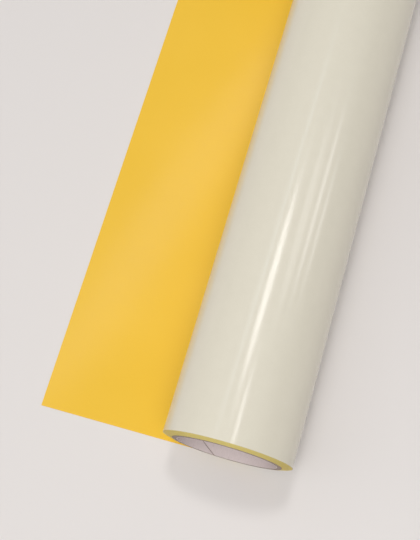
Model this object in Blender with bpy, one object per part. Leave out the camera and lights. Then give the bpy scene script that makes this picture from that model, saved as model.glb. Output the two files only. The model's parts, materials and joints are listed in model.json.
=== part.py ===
"""Roll of sign vinyl: a yellow face film on its release liner, wound film-inwards on a spiral paper core.

Metres, +Z up. The roll lies on its side with its axis along +Y, and its free end lies flat to -X.
The origin is on the table, under the middle of the whole object.

The web (film on liner) is followed inwards from its cut end: flat free end, outermost turn, inner turns,
core. Angles round the roll are measured from its lowest line towards +X, so the web leaves at angle 0.
"""

import math

import bmesh
import bpy
from mathutils import Vector

# Driving dimensions.
WEB_WIDTH = 0.6096  # 24 inch sign vinyl
ROLL_RADIUS = 0.050  # outermost turn, where it touches the table
CORE_BORE_RADIUS = 0.0381  # 3 inch core
FREE_LENGTH = 0.161  # flat web from the roll's lowest line to the cut end
CONE = 0.002  # how far the core end stands out of the outermost turn, towards -Y

# The web's layers, from the table side up.
LINER_THICKNESS = 0.00010
LAYER_GAP = 0.00002
FILM_THICKNESS = 0.00008
WEB_THICKNESS = LINER_THICKNESS + LAYER_GAP + FILM_THICKNESS

# The core's plies, from the bore outwards, each wound as a helical strip with an open butt seam.
PLY_NAMES = ("core_inner_ply", "core_body_ply_1", "core_body_ply_2", "core_body_ply_3", "core_outer_ply")
PLY_THICKNESSES = (0.00060, 0.00086, 0.00086, 0.00086, 0.00060)
GLUE_GAP = 0.00005
SEAM_PITCH = 0.150  # how far a seam runs along the core in one turn
SEAM_GAP = 0.0008
FIRST_SEAM_ANGLE = math.radians(-18.5)  # where the inner ply's seam meets the -Y end of the core
SEAM_STAGGER = math.radians(72)

# The tape that holds the first turn on the core.
TAPE_FACETS = 3
TAPE_THICKNESS = 0.00012
TAPE_GAP = 0.00004
TAPE_INSET = 0.004  # from each end of the core

# Round pieces share one set of facet lines, so that thin nested layers stay clear of each other.
FACETS = 32
FACET_ANGLE = 2 * math.pi / FACETS

# The wound turns under the outermost one: each modelled turn stands for about five real ones.
BUNDLED_TURNS = 8
TURN_GAP = 0.00004
OUTER_TURN_PITCH = WEB_THICKNESS + 0.0001
END_GAP = 0.0003  # between the outermost turn's inner end and the bundled turns

# The free end is a chain of strips, so that it can wind back onto the roll.
STRIPS = 12
STRIP_GAP = 0.0001
STRIP_LENGTH = FREE_LENGTH / (STRIPS + 0.5)
STUB_LENGTH = STRIP_LENGTH / 2  # flat web that stays with the roll, up to the first strip
HINGE_HEIGHT = WEB_THICKNESS / 2

# Places that follow from the sizes above.
CORE_OUTER_RADIUS = CORE_BORE_RADIUS + sum(PLY_THICKNESSES) + GLUE_GAP * (len(PLY_THICKNESSES) - 1)
AXIS_X = (FREE_LENGTH - STRIP_GAP / 2 - (ROLL_RADIUS - OUTER_TURN_PITCH / 4)) / 2
HALF_WIDTH = WEB_WIDTH / 2
CORE_SHIFT = -CONE / 2  # the core and the free end are shifted opposite ways, so the object is centred
WEB_SHIFT = CONE / 2
BUNDLE_OUTER_RADIUS = ROLL_RADIUS - WEB_THICKNESS - 0.0001
BUNDLE_INNER_RADIUS = CORE_OUTER_RADIUS + TAPE_GAP + TAPE_THICKNESS + TAPE_GAP
BUNDLED_PITCH = (BUNDLE_OUTER_RADIUS - BUNDLE_INNER_RADIUS + TURN_GAP) / (BUNDLED_TURNS + 1)
BUNDLED_LINER = (BUNDLED_PITCH - 2 * TURN_GAP) * LINER_THICKNESS / (LINER_THICKNESS + FILM_THICKNESS)
BUNDLED_FILM = BUNDLED_PITCH - 2 * TURN_GAP - BUNDLED_LINER


def clear_scene():
    for obj in list(bpy.data.objects):
        bpy.data.objects.remove(obj, do_unlink=True)


def material(name, color, roughness, metallic=0.0):
    """A plain Principled BSDF material."""
    made = bpy.data.materials.new(name)
    made.use_nodes = True
    shader = made.node_tree.nodes["Principled BSDF"]
    shader.inputs["Base Color"].default_value = (*color, 1.0)
    shader.inputs["Roughness"].default_value = roughness
    shader.inputs["Metallic"].default_value = metallic
    made.diffuse_color = (*color, 1.0)
    return made


def empty(name, location, parent=None):
    made = bpy.data.objects.new(name, None)
    made.empty_display_size = 0.02
    made.location = location
    made.parent = parent
    bpy.context.scene.collection.objects.link(made)
    return made


def piece(name, bm, parent, finish):
    """One solid made from a bmesh in its parent empty's own coordinates."""
    bmesh.ops.recalc_face_normals(bm, faces=bm.faces)
    mesh = bpy.data.meshes.new(name)
    bm.to_mesh(mesh)
    bm.free()
    mesh.materials.append(finish)
    mesh.shade_smooth()
    mesh.set_sharp_from_angle(angle=math.radians(30))
    obj = bpy.data.objects.new(name, mesh)
    obj.parent = parent
    bpy.context.scene.collection.objects.link(obj)
    return obj


def on_roll(radius, angle):
    """(x, z) from the roll's axis at an angle measured from its lowest line towards +X."""
    return radius * math.sin(angle), -radius * math.cos(angle)


def cone_shift(radius):
    """How far along Y a turn of this radius stands: the inner turns reach further towards -Y."""
    share = (ROLL_RADIUS - radius) / (ROLL_RADIUS - CORE_OUTER_RADIUS)
    return WEB_SHIFT - CONE * min(1.0, max(0.0, share))


def sweep(sections):
    """A closed bar through four-cornered sections, each a list of (x, y, z)."""
    bm = bmesh.new()
    rings = [[bm.verts.new(corner) for corner in section] for section in sections]
    for ring, following in zip(rings, rings[1:]):
        for i in range(4):
            j = (i + 1) % 4
            bm.faces.new((ring[i], ring[j], following[j], following[i]))
    bm.faces.new(rings[0])
    bm.faces.new(reversed(rings[-1]))
    return bm


def web_section(outer, inner):
    """The section across the web's width between two (x, z, radius) points, outer face and inner face."""
    section = []
    for (x, z, radius), side in ((outer, -1), (outer, 1), (inner, 1), (inner, -1)):
        section.append((x, side * HALF_WIDTH + cone_shift(radius), z))
    return section


def spiral_layer(start_radius, pitch, depth, thickness, first_facet, last_facet, trim=0.0):
    """Sections of one layer of the web as it winds inwards.

    Its outer face lies depth under the spiral that starts at start_radius. trim is cut off its first end.
    """
    sections = []
    for k in range(first_facet, last_facet + 1):
        angle = k * FACET_ANGLE + (trim / start_radius if k == first_facet else 0.0)
        outer_radius = start_radius - pitch * angle / (2 * math.pi) - depth
        inner_radius = outer_radius - thickness
        outer = (*on_roll(outer_radius, angle), outer_radius)
        inner = (*on_roll(inner_radius, angle), inner_radius)
        sections.append(web_section(outer, inner))
    return sections


def outermost_turn(name, depth, thickness, parent, finish):
    """A layer's last full turn on the roll, with the flat stub that leads to the free end."""
    stub_end = -STUB_LENGTH + STRIP_GAP / 2
    height = -ROLL_RADIUS + depth
    stub = web_section((stub_end, height, ROLL_RADIUS), (stub_end, height + thickness, ROLL_RADIUS))
    turn = spiral_layer(ROLL_RADIUS, OUTER_TURN_PITCH, depth, thickness, 0, FACETS)
    return piece(name, sweep([stub] + turn), parent, finish)


def bundled_turns(name, depth, thickness, parent, finish):
    """A layer's inner turns, down to the core."""
    sections = spiral_layer(
        BUNDLE_OUTER_RADIUS, BUNDLED_PITCH, depth, thickness, 0, BUNDLED_TURNS * FACETS, trim=END_GAP
    )
    return piece(name, sweep(sections), parent, finish)


def free_strip(name, bottom, thickness, parent, finish):
    """One strip of a layer's free end, in the coordinates of its hinge line at +X."""
    near, far = -STRIP_GAP / 2, -STRIP_LENGTH + STRIP_GAP / 2
    low, high = bottom - HINGE_HEIGHT, bottom + thickness - HINGE_HEIGHT
    sections = []
    for x in (near, far):
        corners = ((-1, low), (1, low), (1, high), (-1, high))
        sections.append([(x, side * HALF_WIDTH + WEB_SHIFT, z) for side, z in corners])
    return piece(name, sweep(sections), parent, finish)


def cut_square(bm, y, outward):
    """Cuts a bmesh square across at y and caps it, and drops what lies outward of the cut."""
    cut = bmesh.ops.bisect_plane(
        bm,
        geom=bm.verts[:] + bm.edges[:] + bm.faces[:],
        dist=1e-7,
        plane_co=(0, y, 0),
        plane_no=(0, outward, 0),
        clear_outer=True,
    )
    rim = [e for e in cut["geom_cut"] if isinstance(e, bmesh.types.BMEdge)]
    bmesh.ops.edgeloop_fill(bm, edges=rim)


def helical_ply(name, inner_radius, thickness, seam_angle, parent, finish):
    """One paper strip wound into a tube: its seam runs towards -Y as it turns towards +X."""
    near_end, far_end = -HALF_WIDTH + CORE_SHIFT, HALF_WIDTH + CORE_SHIFT
    strip_width = SEAM_PITCH - SEAM_GAP
    rise = SEAM_PITCH / FACETS
    # Facet lines before and after the tube, where the strip has passed its ends.
    seam_facets = seam_angle / FACET_ANGLE
    first = math.floor(seam_facets - (far_end - near_end) / rise) - FACETS
    last = math.ceil(seam_facets) + FACETS
    sections = []
    for k in range(first, last + 1):
        y = near_end - (k - seam_facets) * rise
        angle = k * FACET_ANGLE
        section = []
        for radius, edge in (
            (inner_radius, y),
            (inner_radius + thickness, y),
            (inner_radius + thickness, y + strip_width),
            (inner_radius, y + strip_width),
        ):
            x, z = on_roll(radius, angle)
            section.append((x, edge, z))
        sections.append(section)
    bm = sweep(sections)
    cut_square(bm, near_end, -1)
    cut_square(bm, far_end, 1)
    return piece(name, bm, parent, finish)


def core(parent, finishes):
    radius = CORE_BORE_RADIUS
    for i, (name, thickness) in enumerate(zip(PLY_NAMES, PLY_THICKNESSES)):
        helical_ply(name, radius, thickness, FIRST_SEAM_ANGLE + i * SEAM_STAGGER, parent, finishes[name])
        radius += thickness + GLUE_GAP


def core_tape(parent, finish):
    """The strip of double-sided tape between the core and the web's inner end."""
    inner_radius = CORE_OUTER_RADIUS + TAPE_GAP
    near_end = -HALF_WIDTH + CORE_SHIFT + TAPE_INSET
    far_end = HALF_WIDTH + CORE_SHIFT - TAPE_INSET
    sections = []
    for k in range(-TAPE_FACETS, 1):
        inner = on_roll(inner_radius, k * FACET_ANGLE)
        outer = on_roll(inner_radius + TAPE_THICKNESS, k * FACET_ANGLE)
        corners = ((outer, near_end), (outer, far_end), (inner, far_end), (inner, near_end))
        sections.append([(x, y, z) for (x, z), y in corners])
    return piece("core_tape", sweep(sections), parent, finish)


def free_end(liner, film):
    """The chain of hinge lines along the free end, each with its strip of liner and of film."""
    hinge = empty("free_end_hinge_01", (AXIS_X - STUB_LENGTH, 0, HINGE_HEIGHT))
    film_bottom = LINER_THICKNESS + LAYER_GAP
    for i in range(1, STRIPS + 1):
        free_strip(f"free_liner_strip_{i:02d}", 0.0, LINER_THICKNESS, hinge, liner)
        free_strip(f"free_film_strip_{i:02d}", film_bottom, FILM_THICKNESS, hinge, film)
        if i < STRIPS:
            hinge = empty(f"free_end_hinge_{i + 1:02d}", Vector((-STRIP_LENGTH, 0, 0)), hinge)


def build():
    clear_scene()
    film = material("yellow_film", (0.85, 0.52, 0.06), 0.35)
    liner = material("release_liner", (0.72, 0.67, 0.55), 0.25)
    grey_board = material("grey_board", (0.42, 0.38, 0.36), 0.8)
    white_paper = material("core_lining_paper", (0.55, 0.50, 0.49), 0.6)
    tape = material("double_sided_tape", (0.75, 0.75, 0.70), 0.4)

    roll_axis = empty("roll_axis", (AXIS_X, 0, ROLL_RADIUS))
    finishes = {name: grey_board for name in PLY_NAMES}
    finishes["core_inner_ply"] = white_paper
    core(roll_axis, finishes)
    core_tape(roll_axis, tape)

    film_depth = BUNDLED_LINER + TURN_GAP
    bundled_turns("wound_liner", 0.0, BUNDLED_LINER, roll_axis, liner)
    bundled_turns("wound_film", film_depth, BUNDLED_FILM, roll_axis, film)
    outermost_turn("outer_turn_liner", 0.0, LINER_THICKNESS, roll_axis, liner)
    outermost_turn("outer_turn_film", LINER_THICKNESS + LAYER_GAP, FILM_THICKNESS, roll_axis, film)
    free_end(liner, film)


build()
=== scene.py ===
"""The looks of a roll of sign vinyl: yellow film on a glossy cream liner, wound film-inwards on a paper core.

Metres, +Z up, the roll's axis along +Y. Angles round the roll are measured from its lowest line towards
+X. The web (film on liner) is followed from the roll's lowest line both ways: inwards along the spiral,
and outwards along the flat free end. Places come from the CAD frame. Sizes that the frame doesn't give are
named below.
"""

import json
import math

import bmesh
import bpy
import numpy as np
from mathutils import Matrix, Vector


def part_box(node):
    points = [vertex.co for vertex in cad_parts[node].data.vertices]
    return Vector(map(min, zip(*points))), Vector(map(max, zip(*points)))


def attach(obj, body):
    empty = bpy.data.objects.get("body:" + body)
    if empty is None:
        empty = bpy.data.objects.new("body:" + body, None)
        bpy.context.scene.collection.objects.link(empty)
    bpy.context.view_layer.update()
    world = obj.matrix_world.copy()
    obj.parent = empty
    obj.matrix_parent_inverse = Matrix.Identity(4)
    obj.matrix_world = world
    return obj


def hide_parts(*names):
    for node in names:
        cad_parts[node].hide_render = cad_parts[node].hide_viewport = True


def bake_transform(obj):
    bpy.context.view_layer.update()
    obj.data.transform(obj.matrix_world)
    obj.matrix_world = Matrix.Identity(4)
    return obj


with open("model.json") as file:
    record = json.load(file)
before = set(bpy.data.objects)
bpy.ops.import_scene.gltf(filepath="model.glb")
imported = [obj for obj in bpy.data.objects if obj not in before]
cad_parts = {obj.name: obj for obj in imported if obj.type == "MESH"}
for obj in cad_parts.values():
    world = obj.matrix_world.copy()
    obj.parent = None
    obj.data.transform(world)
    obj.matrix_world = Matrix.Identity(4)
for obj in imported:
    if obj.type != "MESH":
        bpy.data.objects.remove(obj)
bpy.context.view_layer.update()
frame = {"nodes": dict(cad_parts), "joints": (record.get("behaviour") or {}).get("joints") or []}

# The web's layers. The film carries its adhesive, so it fills the CAD's gap down to the liner.
LINER_THICKNESS = 0.000100
FILM_GAP = 0.000002
FILM_THICKNESS = 0.000098
FILM_DEPTH = LINER_THICKNESS + FILM_GAP
WEB_THICKNESS = FILM_DEPTH + FILM_THICKNESS
TURN_PITCH = 0.000206  # one turn of web, with the air between turns

# The roll, read off the frame.
JOINTS = frame["joints"]
STRIPS = len(JOINTS)
STRIP_LENGTH = JOINTS[0]["pos_m"][0] - JOINTS[1]["pos_m"][0]
AXIS_X = JOINTS[0]["pos_m"][0] + STRIP_LENGTH / 2
film_low, film_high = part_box(f"free_film_strip_{STRIPS:02d}")
core_low, core_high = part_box("core_inner_ply")
tape_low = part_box("core_tape")[0]
CUT_END_X = film_low.x
WEB_NEAR, WEB_FAR = film_low.y, film_high.y
CORE_NEAR, CORE_FAR = core_low.y, core_high.y
CONE = WEB_NEAR - CORE_NEAR  # how far the core and the innermost turns stand out of the outermost one
ROLL_RADIUS = 0.050
TAPE_GAP = 0.00004  # air between the core's tape and the innermost turn
INNERMOST_RADIUS = ROLL_RADIUS - tape_low.z + TAPE_GAP

# Fineness of the meshes.
OUTER_STEPS = 360  # round the outermost turn
INNER_STEPS = 96  # round each turn under it
ACROSS_STEPS = 72  # across the web
STRIP_STEPS = 8  # along one piece of the free end
SHARP_ANGLE = math.radians(40)


# Shapes


def add_object(name, data):
    made = bpy.data.objects.new(name, data)
    bpy.context.scene.collection.objects.link(made)
    return made


def smooth_noise(values, seed, waves, shortest, longest):
    """A smooth random curve along values, between -1 and 1, with waves from shortest to longest."""
    draw = np.random.default_rng(seed)
    total = np.zeros_like(values, dtype=float)
    for _ in range(waves):
        length = math.exp(draw.uniform(math.log(shortest), math.log(longest)))
        total += np.sin(2 * math.pi * values / length + draw.uniform(0, 2 * math.pi))
    return total / waves


def on_roll(radius, angle):
    """(x, z) in the frame, at an angle from the roll's lowest line towards +X."""
    return AXIS_X + radius * np.sin(angle), ROLL_RADIUS - radius * np.cos(angle)


def finish_mesh(name, points, faces, coordinates):
    """An object from points and faces, its faces turned outwards, with the web's coordinates in metres."""
    mesh = bpy.data.meshes.new(name)
    mesh.from_pydata(points.tolist(), [], faces)
    layer = mesh.uv_layers.new(name="web")
    index = np.empty(len(mesh.loops), dtype=np.int32)
    mesh.loops.foreach_get("vertex_index", index)
    layer.data.foreach_set("uv", coordinates[index].astype(np.float32).ravel())
    mesh.calc_loop_triangles()
    corners = np.empty(len(mesh.loop_triangles) * 3, dtype=np.int32)
    mesh.loop_triangles.foreach_get("vertices", corners)
    a, b, c = (points[corners.reshape(-1, 3)[:, i]] for i in range(3))
    if (a * np.cross(b, c)).sum() < 0:
        mesh.flip_normals()
    mesh.validate()
    mesh.shade_smooth()
    mesh.set_sharp_from_angle(angle=SHARP_ANGLE)
    return add_object(name, mesh)


def closed_sheet(name, outer, inner, along, across):
    """A thin closed solid between two grids of points, each (along, across, 3)."""
    rows, columns = outer.shape[:2]
    points = np.concatenate([outer.reshape(-1, 3), inner.reshape(-1, 3)])
    once = np.stack(np.broadcast_arrays(along[:, None], across[None, :]), axis=-1).reshape(-1, 2)
    index = np.arange(rows * columns).reshape(rows, columns)
    under = index + rows * columns

    def quads(a, b, c, d):
        return np.stack([a, b, c, d], axis=-1).reshape(-1, 4).tolist()

    faces = quads(index[:-1, :-1], index[1:, :-1], index[1:, 1:], index[:-1, 1:])
    faces += quads(under[:-1, :-1], under[:-1, 1:], under[1:, 1:], under[1:, :-1])
    for edge in (0, -1):
        top, low = index[edge, :], under[edge, :]
        end_wall = (top[:-1], top[1:], low[1:], low[:-1])
        top, low = index[:, edge], under[:, edge]
        side_wall = (top[1:], top[:-1], low[:-1], low[1:])
        for wall in (end_wall, side_wall):
            faces += quads(*(wall if edge == 0 else wall[::-1]))
    return finish_mesh(name, points, faces, np.concatenate([once, once]))


# The free end

LARGEST_LIFT = 0.0002  # at the cut end


def free_height(x, y):
    """How far the free end lifts off the table: least near the roll, to stay clear of it when wound."""
    away = (AXIS_X - x) / (AXIS_X - CUT_END_X)
    long_wave = np.sin(17.0 * y + 9.0 * x + 0.6)
    short_wave = np.sin(31.0 * y - 22.0 * x + 2.1)
    swell = 0.5 + 0.25 * long_wave + 0.25 * short_wave
    return LARGEST_LIFT * swell * np.clip(away, 0, 1) ** 3


def free_layer(name, x_start, x_end, low, high, steps):
    """A stretch of one layer of the free end from x_start to x_end, between two heights above the table."""
    x = np.linspace(x_start, x_end, steps + 1)
    y = np.linspace(WEB_NEAR, WEB_FAR, ACROSS_STEPS + 1)
    grid_x, grid_y = np.meshgrid(x, y, indexing="ij")
    lift = free_height(grid_x, grid_y)
    outer = np.stack([grid_x, grid_y, lift + low], axis=-1)
    inner = np.stack([grid_x, grid_y, lift + high], axis=-1)
    return closed_sheet(name, outer, inner, AXIS_X - x, y - WEB_NEAR)


def free_end(layer, low, high, finish):
    """A layer of the free end: pieces that each span one hinge line, the last up to the cut end."""
    middles = [AXIS_X - i * STRIP_LENGTH for i in range(STRIPS + 1)]
    for i in range(STRIPS):
        number = f"{i + 1:02d}"
        last = i == STRIPS - 1
        stop = CUT_END_X if last else middles[i + 1]
        steps = STRIP_STEPS * 3 // 2 if last else STRIP_STEPS
        piece = free_layer(f"free_{layer}_{number}", middles[i], stop, low, high, steps)
        piece.data.materials.append(finish)
        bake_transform(piece)
        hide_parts(f"free_{layer}_strip_{number}")


# The wound web

EDGE_WANDER = 0.00022  # how far the turns' cut edges stray along Y
EDGE_SEED = 4
RIDGE_WAVES = (9, 14, 21, 33, 47)  # waves round the outermost turn
RIDGE_HEIGHT = 0.00009
RIDGE_SEED = 11


def edge_shift(radius, turns):
    """How far a turn of this radius stands along Y: the inner turns reach further towards -Y."""
    share = np.clip((ROLL_RADIUS - radius) / (ROLL_RADIUS - INNERMOST_RADIUS), 0, 1)
    wander = smooth_noise(turns, seed=EDGE_SEED, waves=9, shortest=0.7, longest=9.0)
    return -CONE * share + EDGE_WANDER * wander * np.clip(turns, 0, 1)


def ripple(angle, y):
    """How far the outermost turn stands off the roll: soft ridges along the roll, none where it lies down."""
    draw = np.random.default_rng(RIDGE_SEED)
    total = np.zeros_like(angle)
    for waves in RIDGE_WAVES:
        drift = draw.uniform(-6, 6)
        bend = draw.uniform(1.5, 5.0)
        start = draw.uniform(0, 2 * math.pi)
        crest = np.cos(waves * angle + start + 0.6 * np.sin(bend * y * 2 + drift) + drift * y)
        total += (1 + crest) * RIDGE_HEIGHT / waves
    return total * np.sin(angle / 2) ** 2


def wound_layer(name, first_turn, last_turn, steps, depth, thickness, across, rippled):
    """One layer of the web as it winds inwards, from first_turn to last_turn, its outer face depth down."""
    count = int(round((last_turn - first_turn) * steps))
    turns = np.linspace(first_turn, last_turn, count + 1)
    angle = 2 * math.pi * turns
    radius = ROLL_RADIUS - TURN_PITCH * turns
    shift = edge_shift(radius, turns)
    y = np.linspace(WEB_NEAR, WEB_FAR, across + 1)
    grid_angle, grid_y = np.meshgrid(angle, y, indexing="ij")
    lift = ripple(grid_angle, grid_y) if rippled else np.zeros_like(grid_y)
    sides = []
    for deeper in (depth, depth + thickness):
        x, z = on_roll(radius[:, None] + lift - deeper, grid_angle)
        sides.append(np.stack([x, grid_y + shift[:, None], z], axis=-1))
    along = -2 * math.pi * turns * (ROLL_RADIUS + radius) / 2
    return closed_sheet(name, *sides, along, y - WEB_NEAR)


def wound_length(first_turn, last_turn):
    """The web's length between two turns of the spiral."""
    middle_radius = ROLL_RADIUS - TURN_PITCH * (first_turn + last_turn) / 2
    return 2 * math.pi * middle_radius * (last_turn - first_turn)


def wound_web(layer, depth, thickness, finish, edge, outermost_on, under_on):
    """A layer's outermost turn and all its turns under it, down to the core's tape: only their edges show."""
    last_turn = (ROLL_RADIUS - WEB_THICKNESS - INNERMOST_RADIUS) / TURN_PITCH
    outermost = wound_layer(
        f"outermost_{layer}", 0.0, 1.0, OUTER_STEPS, depth, thickness, ACROSS_STEPS, rippled=True
    )
    under = wound_layer(
        f"wound_{layer}_turns", 1.0, last_turn, INNER_STEPS, depth, thickness, 1, rippled=False
    )
    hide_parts(f"outer_turn_{layer}")
    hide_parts(f"wound_{layer}")
    for piece, look, length, lies_on in (
        (outermost, finish, wound_length(0.0, 1.0), outermost_on),
        (under, edge, wound_length(1.0, last_turn), under_on),
    ):
        piece.data.materials.append(look)
        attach(piece, "roll")


# The core

PLY_STEPS = 128
PLY_SHARP_ANGLE = math.radians(30)
SEAM_PITCH = 0.150  # how far a seam runs along the core in one turn
SEAM_GAP = 0.0008
FIRST_SEAM_ANGLE = math.radians(-18.5)
SEAM_STAGGER = math.radians(72)
PLIES = ("core_inner_ply", "core_body_ply_1", "core_body_ply_2", "core_body_ply_3", "core_outer_ply")
PLY_THICKNESSES = (0.00060, 0.00086, 0.00086, 0.00086, 0.00060)
PLY_GAP = 0.00005  # between the CAD's plies
GLUE_LINE = 0.00002  # what stays open of it here


def cut_square(bm, y, outward):
    """Cuts a bmesh square across at y and caps it, and drops what lies outward of the cut."""
    cut = bmesh.ops.bisect_plane(
        bm,
        geom=bm.verts[:] + bm.edges[:] + bm.faces[:],
        dist=1e-7,
        plane_co=(0, y, 0),
        plane_no=(0, outward, 0),
        clear_outer=True,
    )
    rim = [e for e in cut["geom_cut"] if isinstance(e, bmesh.types.BMEdge)]
    bmesh.ops.edgeloop_fill(bm, edges=rim)


def ply(name, node, inner_radius, thickness, seam_angle, finish):
    """One paper strip wound into a tube: its seam runs towards -Y as it turns towards +X."""
    rise = SEAM_PITCH / PLY_STEPS
    step = 2 * math.pi / PLY_STEPS
    seam_steps = seam_angle / step
    first = math.floor(seam_steps - (CORE_FAR - CORE_NEAR) / rise) - PLY_STEPS
    last = math.ceil(seam_steps) + PLY_STEPS
    bm = bmesh.new()
    rings = []
    for k in range(first, last + 1):
        y = CORE_NEAR - (k - seam_steps) * rise
        ring = []
        for radius, edge in (
            (inner_radius, y),
            (inner_radius + thickness, y),
            (inner_radius + thickness, y + SEAM_PITCH - SEAM_GAP),
            (inner_radius, y + SEAM_PITCH - SEAM_GAP),
        ):
            x, z = on_roll(radius, k * step)
            ring.append(bm.verts.new((x, edge, z)))
        rings.append(ring)
    for ring, following in zip(rings, rings[1:]):
        for i in range(4):
            j = (i + 1) % 4
            bm.faces.new((ring[i], ring[j], following[j], following[i]))
    bm.faces.new(rings[0])
    bm.faces.new(reversed(rings[-1]))
    cut_square(bm, CORE_NEAR, -1)
    cut_square(bm, CORE_FAR, 1)
    bmesh.ops.recalc_face_normals(bm, faces=bm.faces)
    mesh = bpy.data.meshes.new(name)
    bm.to_mesh(mesh)
    bm.free()
    mesh.shade_smooth()
    mesh.set_sharp_from_angle(angle=PLY_SHARP_ANGLE)
    mesh.materials.append(finish)
    made = add_object(name, mesh)
    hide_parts(node)
    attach(made, "roll")


def core(lining, board):
    """The core's plies, from its bore outwards."""
    radius = (core_high.x - core_low.x) / 2 - PLY_THICKNESSES[0]
    for i, (node, thickness) in enumerate(zip(PLIES, PLY_THICKNESSES)):
        innermost = i == 0
        ply(
            node.replace("core_", "paper_"),
            node,
            radius,
            thickness + PLY_GAP - GLUE_LINE,
            FIRST_SEAM_ANGLE + i * SEAM_STAGGER,
            lining if innermost else board,
        )
        radius += thickness + PLY_GAP


# Materials


def srgb(red, green, blue):
    """A linear colour from three 0-255 sRGB values, each above the curve's straight foot."""
    return tuple(((value / 255 + 0.055) / 1.055) ** 2.4 for value in (red, green, blue))


class Finish:
    """A Principled material and the few node shapes that the finishes below are built from."""

    def __init__(self, name, roughness, specular=0.5):
        self.material = bpy.data.materials.new(name)
        self.material.use_nodes = True
        self.tree = self.material.node_tree
        self.shader = self.tree.nodes["Principled BSDF"]
        self.shader.inputs["Roughness"].default_value = roughness
        self.shader.inputs["Specular IOR Level"].default_value = specular
        self.bump_normal = None

    def node(self, kind, **settings):
        made = self.tree.nodes.new(kind)
        for key, value in settings.items():
            setattr(made, key, value)
        return made

    def link(self, source, target):
        self.tree.links.new(source, target)

    def place(self, stretch, web=True):
        """Coordinates in metres times stretch: the web's own along and across it, or the frame's."""
        mapping = self.node("ShaderNodeMapping")
        mapping.inputs["Scale"].default_value = stretch
        if web:
            self.link(self.node("ShaderNodeUVMap", uv_map="web").outputs["UV"], mapping.inputs["Vector"])
        else:
            self.link(self.node("ShaderNodeTexCoord").outputs["Object"], mapping.inputs["Vector"])
        return mapping.outputs["Vector"]

    def noise(self, where, detail, roughness=0.5):
        made = self.node("ShaderNodeTexNoise")
        made.inputs["Scale"].default_value = 1.0
        made.inputs["Detail"].default_value = detail
        made.inputs["Roughness"].default_value = roughness
        self.link(where, made.inputs["Vector"])
        return made.outputs["Fac"]

    def spread(self, value, low, high, to_low=0.0, to_high=1.0):
        """value from low to high, spread over to_low to to_high."""
        made = self.node("ShaderNodeMapRange")
        made.inputs["From Min"].default_value = low
        made.inputs["From Max"].default_value = high
        made.inputs["To Min"].default_value = to_low
        made.inputs["To Max"].default_value = to_high
        self.link(value, made.inputs["Value"])
        return made.outputs["Result"]

    def mix(self, factor, first, second):
        """A colour between first and second, each a colour or another node's output."""
        made = self.node("ShaderNodeMix", data_type="RGBA")
        self.link(factor, made.inputs["Factor"])
        for value, socket in ((first, made.inputs["A"]), (second, made.inputs["B"])):
            if isinstance(value, tuple):
                socket.default_value = (*value, 1.0)
            else:
                self.link(value, socket)
        return made.outputs["Result"]

    def color(self, output):
        self.link(output, self.shader.inputs["Base Color"])

    def rough(self, value, low, high):
        """Roughness from low to high as value goes over a noise's usual range."""
        self.link(self.spread(value, 0.3, 0.7, low, high), self.shader.inputs["Roughness"])

    def bump(self, height, distance):
        """Adds a bump of this height in metres, on top of any other."""
        made = self.node("ShaderNodeBump")
        made.inputs["Strength"].default_value = 1.0
        made.inputs["Distance"].default_value = distance
        self.link(height, made.inputs["Height"])
        if self.bump_normal:
            self.link(self.bump_normal, made.inputs["Normal"])
        self.bump_normal = made.outputs["Normal"]
        self.link(self.bump_normal, self.shader.inputs["Normal"])


def film_finish():
    """Semi-gloss yellow vinyl: even colour, a faint orange peel and soft clouds in its sheen."""
    made = Finish("yellow_film_finish", roughness=0.13, specular=0.3)
    clouds = made.noise(made.place((9, 9, 9)), detail=2)
    grain = made.noise(made.place((900, 900, 900)), detail=2)
    tone = made.mix(made.spread(clouds, 0.35, 0.65), srgb(234, 189, 62), srgb(237, 192, 67))
    made.color(made.mix(made.spread(grain, 0.2, 0.8, 0.0, 0.10), tone, srgb(216, 164, 46)))
    made.rough(clouds, 0.12, 0.15)
    made.bump(grain, 0.0000015)
    made.bump(made.noise(made.place((160, 160, 160)), detail=1), 0.000004)
    return made.material


def liner_finish():
    """Glossy cream release liner: paper clouds under a smooth coat, with fine ridges along the roll."""
    made = Finish("release_liner_finish", roughness=0.16, specular=0.5)
    clouds = made.noise(made.place((90, 90, 90)), detail=4, roughness=0.6)
    fibres = made.noise(made.place((2600, 500, 500)), detail=2)
    tone = made.mix(made.spread(clouds, 0.3, 0.7), srgb(219, 213, 196), srgb(221, 215, 198))
    made.color(made.mix(made.spread(fibres, 0.3, 0.7, 0.0, 0.12), tone, srgb(206, 198, 178)))
    made.rough(clouds, 0.14, 0.18)
    ridges = made.noise(made.place((260, 3.0, 3.0)), detail=2, roughness=0.45)
    made.bump(ridges, 0.00002)
    made.bump(fibres, 0.0000008)
    return made.material


def edge_finish(name, dull, bright):
    """The cut edges of the wound turns, each a little lighter or darker than the next, slightly fuzzy. Their
    two tones carry painted shade of the gaps between the turns.
    """
    made = Finish(name, roughness=0.6, specular=0.25)
    turns = made.noise(made.place((3.2, 0.4, 0.4)), detail=2)
    grain = made.noise(made.place((1600, 900, 900)), detail=2)
    tone = made.mix(made.spread(turns, 0.35, 0.65), dull, bright)
    made.color(made.mix(made.spread(grain, 0.3, 0.7, 0.0, 0.2), tone, srgb(160, 142, 84)))
    made.bump(grain, 0.00001)
    return made.material


def core_lining_finish():
    """Smooth grey lining paper, with fibres and flecks."""
    made = Finish("core_lining_finish", roughness=0.75, specular=0.3)
    fibres = made.noise(made.place((1400, 260, 1400), web=False), detail=4, roughness=0.65)
    flecks = made.noise(made.place((700, 700, 700), web=False), detail=1)
    tone = made.mix(made.spread(fibres, 0.3, 0.7), srgb(213, 199, 197), srgb(221, 208, 206))
    made.color(made.mix(made.spread(flecks, 0.66, 0.76, 0.0, 0.25), tone, srgb(150, 136, 132)))
    made.bump(fibres, 0.00002)
    return made.material


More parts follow.
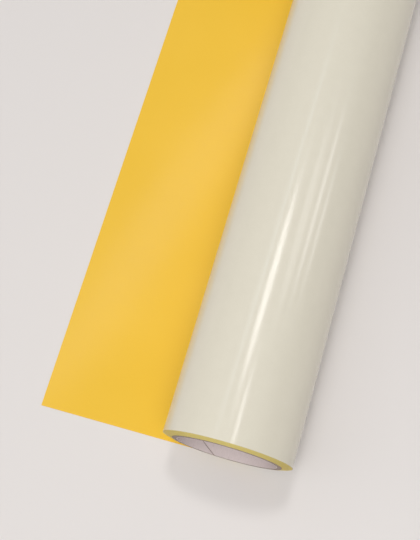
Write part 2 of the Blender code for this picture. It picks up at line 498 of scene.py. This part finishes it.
def board_finish():
    """Matt recycled board: coarse fibres, light and dark flecks. Its grey-brown is partly its own colour and
    partly painted shade, set darker so that the seam gaps where it shows read as dark lines.
    """
    made = Finish("grey_board_and_painted_seam_shade", roughness=0.9, specular=0.2)
    fibres = made.noise(made.place((700, 700, 700), web=False), detail=5, roughness=0.7)
    flecks = made.noise(made.place((1500, 1500, 1500), web=False), detail=1)
    # Both tones are darker than the board alone: painted shade for the core's seam gaps, where this board
    # shows.
    tone = made.mix(made.spread(fibres, 0.3, 0.7), srgb(140, 124, 118), srgb(174, 158, 150))
    made.color(made.mix(made.spread(flecks, 0.64, 0.72, 0.0, 0.6), tone, srgb(96, 86, 80)))
    made.bump(fibres, 0.00005)
    return made.material


def tape_finish():
    """Double-sided tissue tape."""
    made = Finish("tissue_tape_finish", roughness=0.55, specular=0.3)
    fibres = made.noise(made.place((500, 900, 500), web=False), detail=4, roughness=0.65)
    made.color(made.mix(made.spread(fibres, 0.3, 0.7), srgb(214, 212, 202), srgb(232, 231, 224)))
    made.bump(fibres, 0.00001)
    return made.material


# Stage, light and camera

FLOOR_SIZE = 120.0
FLOOR_HEIGHT = -0.0001
FLOOR_COLOR = srgb(221, 216, 213)
NEAR_END = Vector((AXIS_X, WEB_NEAR, 0))
CAMERA_AZIMUTH = 31.0
CAMERA_ELEVATION = 71.75
CAMERA_ROLL = math.radians(-15.5)
CAMERA_DISTANCE = 0.8562
CAMERA_LENS = 68.4
SENSOR_WIDTH = 36.0
AIM_FROM_AXIS = -0.0602
AIM_FROM_NEAR_END = 0.1456
STRIP_LIGHT_HEIGHT = 2.0
STRIP_LIGHTS_FACE = Vector((AXIS_X, WEB_NEAR + 0.2, ROLL_RADIUS))
PALE_BLUE = (0.75, 0.9, 1.0)
NEAR_BOX_SIZE = 1.0
NEAR_BOX_FROM_NEAR_END = Vector((0.25, -0.65, 1.5))
NEAR_BOX_RADIANCE = 2.1
HORIZON_TOP = 0.04  # the sine of the angle above the horizon, up to which the room has the floor's colour
ROOM_TOP = 0.30  # and from which it has its own
HORIZON_COLOR = srgb(204, 200, 197)
ROOM_COLOR = srgb(122, 122, 123)


def stage():
    """A plain pale floor."""
    mesh = bpy.data.meshes.new("floor")
    half = FLOOR_SIZE / 2
    corners = [(-half, -half, 0), (half, -half, 0), (half, half, 0), (-half, half, 0)]
    mesh.from_pydata(corners, [], [(0, 1, 2, 3)])
    floor = add_object("floor", mesh)
    floor.location.z = FLOOR_HEIGHT
    paint = Finish("floor_paint", roughness=0.8, specular=0.2)
    paint.shader.inputs["Base Color"].default_value = (*FLOOR_COLOR, 1.0)
    mesh.materials.append(paint.material)


def strip_light(name, start, end, width, radiance, tint=(1, 1, 1)):
    """A narrow level light, STRIP_LIGHT_HEIGHT above the table, seen in the gloss as a streak that tapers.

    Its two ends are (x, y) from the roll's axis and near end.
    """
    start, end = (NEAR_END + Vector((*place, STRIP_LIGHT_HEIGHT)) for place in (start, end))
    middle = (start + end) / 2
    along = (end - start).normalized()
    back = middle - STRIP_LIGHTS_FACE
    back = (back - along * back.dot(along)).normalized()
    data = bpy.data.lights.new(name, "AREA")
    data.shape = "ELLIPSE"
    data.size = width
    data.size_y = (end - start).length
    data.energy = math.pi * data.size * data.size_y * radiance
    data.color = tint
    made = add_object(name, data)
    turn = Matrix((along.cross(back), along, back)).transposed().to_4x4()
    made.matrix_world = Matrix.Translation(middle) @ turn
    made.visible_diffuse = False


def direction(azimuth, elevation):
    """The way to something at an azimuth from -Y towards +X and an elevation, both in degrees."""
    azimuth, elevation = math.radians(azimuth), math.radians(elevation)
    across = math.cos(elevation)
    return Vector((math.sin(azimuth) * across, -math.cos(azimuth) * across, math.sin(elevation)))


def soft_sun(name, azimuth, elevation, spread, radiance):
    """A broad even light from far away, its angles in degrees. The gloss does not show it."""
    data = bpy.data.lights.new(name, "SUN")
    data.energy = math.pi * radiance
    data.angle = math.radians(spread)
    made = add_object(name, data)
    made.rotation_euler = direction(azimuth, elevation).to_track_quat("Z", "Y").to_euler()
    made.visible_glossy = False


def near_box():
    """A soft box over the near end, so that the light falls off a little towards the far end."""
    data = bpy.data.lights.new("near_box", "AREA")
    data.shape = "SQUARE"
    data.size = NEAR_BOX_SIZE
    data.energy = math.pi * data.size**2 * NEAR_BOX_RADIANCE
    made = add_object("near_box", data)
    made.location = NEAR_END + NEAR_BOX_FROM_NEAR_END
    made.rotation_euler = NEAR_BOX_FROM_NEAR_END.to_track_quat("Z", "Y").to_euler()
    made.visible_glossy = False


def studio():
    """A dim grey room that brightens to the far floor's own colour near the horizon."""
    world = bpy.data.worlds.new("studio")
    world.use_nodes = True
    nodes, links = world.node_tree.nodes, world.node_tree.links
    split = nodes.new("ShaderNodeSeparateXYZ")
    height = nodes.new("ShaderNodeMapRange")
    height.interpolation_type = "SMOOTHSTEP"
    height.inputs["From Min"].default_value = HORIZON_TOP
    height.inputs["From Max"].default_value = ROOM_TOP
    blend = nodes.new("ShaderNodeMix")
    blend.data_type = "RGBA"
    blend.inputs["A"].default_value = (*HORIZON_COLOR, 1.0)
    blend.inputs["B"].default_value = (*ROOM_COLOR, 1.0)
    links.new(nodes.new("ShaderNodeTexCoord").outputs["Generated"], split.inputs["Vector"])
    links.new(split.outputs["Z"], height.inputs["Value"])
    links.new(height.outputs["Result"], blend.inputs["Factor"])
    links.new(blend.outputs["Result"], nodes["Background"].inputs["Color"])
    bpy.context.scene.world = world


def lights():
    """Soft lights for the surfaces, and narrow ones for the streaks in the gloss."""
    studio()
    bpy.context.scene.view_settings.view_transform = "Standard"
    soft_sun("front_light", azimuth=10, elevation=72, spread=40, radiance=0.39)
    near_box()
    soft_sun("key_light", azimuth=184.5, elevation=69.4, spread=9, radiance=0.17)
    soft_sun("left_light", azimuth=-90, elevation=50, spread=60, radiance=0.18)
    strip_light("key_strip", start=(-0.096, 0.40), end=(-0.044, 0.92), width=0.34, radiance=6.5)
    strip_light(
        "left_strip", start=(-0.76, 0.20), end=(-0.38, 1.50), width=0.14, radiance=2.0, tint=PALE_BLUE
    )
    strip_light("near_strip", start=(0.42, 0.20), end=(0.28, 0.38), width=0.14, radiance=8)
    strip_light("right_panel", start=(1.04, 0.68), end=(0.72, 1.18), width=0.40, radiance=1.6)
    strip_light("right_strip", start=(1.74, 0.86), end=(1.74, 1.50), width=0.24, radiance=4)
    strip_light("far_right_strip", start=(3.00, 1.18), end=(2.88, 1.66), width=0.34, radiance=3)


def camera():
    """Looks down over the near end, from its right."""
    aim = NEAR_END + Vector((AIM_FROM_AXIS, AIM_FROM_NEAR_END, 0))
    back = direction(CAMERA_AZIMUTH, CAMERA_ELEVATION)
    level = (-back).cross(Vector((0, 0, 1))).normalized()
    upright = level.cross(-back)
    right = math.cos(CAMERA_ROLL) * level + math.sin(CAMERA_ROLL) * upright
    up = -math.sin(CAMERA_ROLL) * level + math.cos(CAMERA_ROLL) * upright
    data = bpy.data.cameras.new("camera")
    data.sensor_width = SENSOR_WIDTH
    data.lens = CAMERA_LENS
    made = add_object("camera", data)
    turn = Matrix((right, up, back)).transposed().to_4x4()
    made.matrix_world = Matrix.Translation(aim + back * CAMERA_DISTANCE) @ turn
    bpy.context.scene.camera = made


camera()
stage()
lights()
FILM = film_finish()
LINER = liner_finish()
# The edge tones are darker than the liner's and film's faces: painted shade of the narrow gaps between the
# wound turns. The liner's edges are also tinted yellow.
LINER_EDGE_AND_GAP_SHADE = edge_finish("release_liner_edge_and_painted_gap_shade", srgb(206, 194, 120), srgb(222, 211, 148))
FILM_EDGE_AND_GAP_SHADE = edge_finish("yellow_film_edge_and_painted_gap_shade", srgb(218, 184, 54), srgb(234, 200, 70))
wound_web(
    "liner", 0.0, LINER_THICKNESS, LINER, LINER_EDGE_AND_GAP_SHADE, "outermost_film", "wound_film_turns"
)
wound_web(
    "film", FILM_DEPTH, FILM_THICKNESS, FILM, FILM_EDGE_AND_GAP_SHADE, "wound_liner_turns", "paper_outer_ply"
)
free_end("liner", 0.0, LINER_THICKNESS, LINER)
free_end("film", FILM_DEPTH, WEB_THICKNESS, FILM)
core(core_lining_finish(), board_finish())
tape = frame["nodes"]["core_tape"]
tape.data.materials.clear()
tape.data.materials.append(tape_finish())
